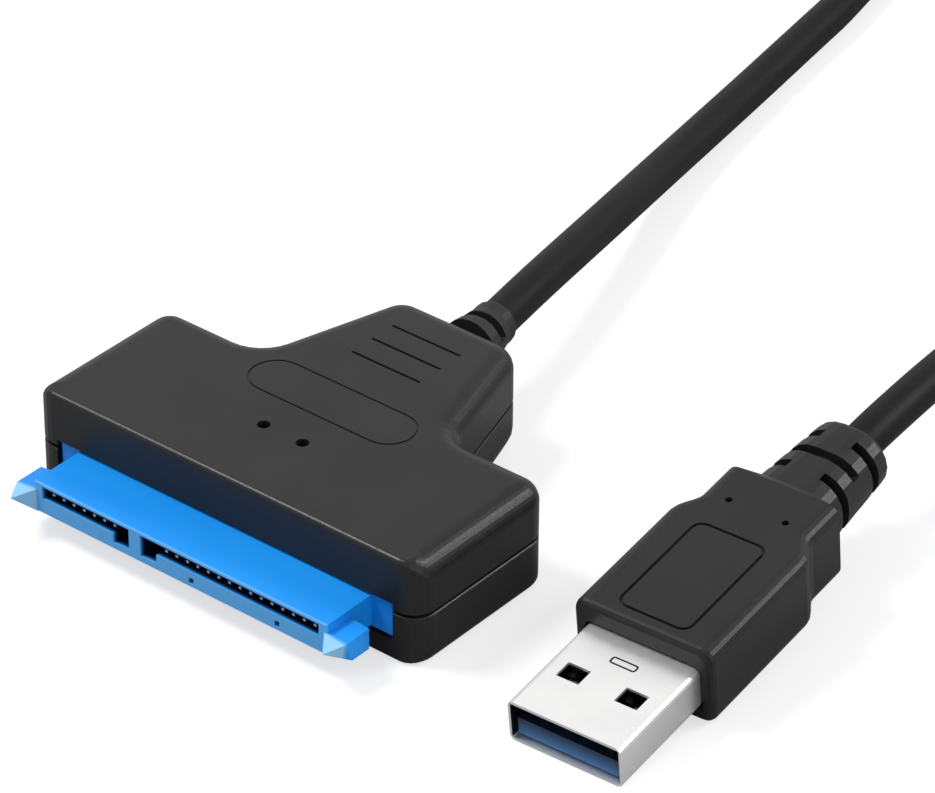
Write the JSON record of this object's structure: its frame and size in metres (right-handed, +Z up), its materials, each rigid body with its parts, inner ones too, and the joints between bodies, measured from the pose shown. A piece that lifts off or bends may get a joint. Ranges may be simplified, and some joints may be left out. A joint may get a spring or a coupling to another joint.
{
  "type": "usb to sata adapter",
  "caption": "Adapter cable with a T-shaped charcoal head, a blue disk receptacle and a USB-A plug on a short black lead.",
  "frame": {"origin": "on the surface under the middle of the head, which lies flat", "axes": "+Z up, +Y from the receptacle to the cable's exit, +X to the right seen from the cable's side"},
  "size_m": [0.0718, 0.1699, 0.0115],
  "materials": {
    "charcoal_plastic": "fine spark-eroded grain, matte",
    "blue_plastic": "smooth satin moulding",
    "dark_blue_plastic": "smooth satin moulding",
    "black_rubber": "satin vinyl jacket",
    "gold_plate": "thin gold plating, satin",
    "nickel_plate": "nickel plating, lightly brushed",
    "board_green": "solder resist, satin",
    "chip_black": "moulded resin, matte",
    "ceramic_tan": "sintered ceramic",
    "clear_plastic": "clear moulding"
  },
  "bodies": {
    "root": {"upper_shell": "charcoal_plastic", "lower_shell": "charcoal_plastic", "usb_plug_grip": "charcoal_plastic", "sata_receptacle_body": "blue_plastic", "usb_insulator": "dark_blue_plastic", "head_strain_relief": "black_rubber", "cable": "black_rubber", "power_wire": "black_rubber", "ground_wire": "black_rubber", "transmit_wire": "black_rubber", "receive_wire": "black_rubber", "signal_contact_1": "gold_plate", "signal_contact_2": "gold_plate", "signal_contact_3": "gold_plate", "signal_contact_4": "gold_plate", "signal_contact_5": "gold_plate", "signal_contact_6": "gold_plate", "signal_contact_7": "gold_plate", "power_contact_1": "gold_plate", "power_contact_2": "gold_plate", "power_contact_3": "gold_plate", "power_contact_4": "gold_plate", "power_contact_5": "gold_plate", "power_contact_6": "gold_plate", "power_contact_7": "gold_plate", "power_contact_8": "gold_plate", "power_contact_9": "gold_plate", "power_contact_10": "gold_plate", "power_contact_11": "gold_plate", "power_contact_12": "gold_plate", "power_contact_13": "gold_plate", "power_contact_14": "gold_plate", "power_contact_15": "gold_plate", "usb_contact_1": "gold_plate", "usb_contact_2": "gold_plate", "usb_contact_3": "gold_plate", "usb_contact_4": "gold_plate", "usb_fast_contact_1": "gold_plate", "usb_fast_contact_2": "gold_plate", "usb_fast_contact_3": "gold_plate", "usb_fast_contact_4": "gold_plate", "usb_fast_contact_5": "gold_plate", "usb_shell": "nickel_plate", "crystal": "nickel_plate", "circuit_board": "board_green", "bridge_chip": "chip_black", "flash_chip": "chip_black", "power_inductor": "chip_black", "input_capacitor": "ceramic_tan", "output_capacitor": "ceramic_tan", "power_led": "clear_plastic", "activity_led": "clear_plastic"}
  },
  "joints": []
}
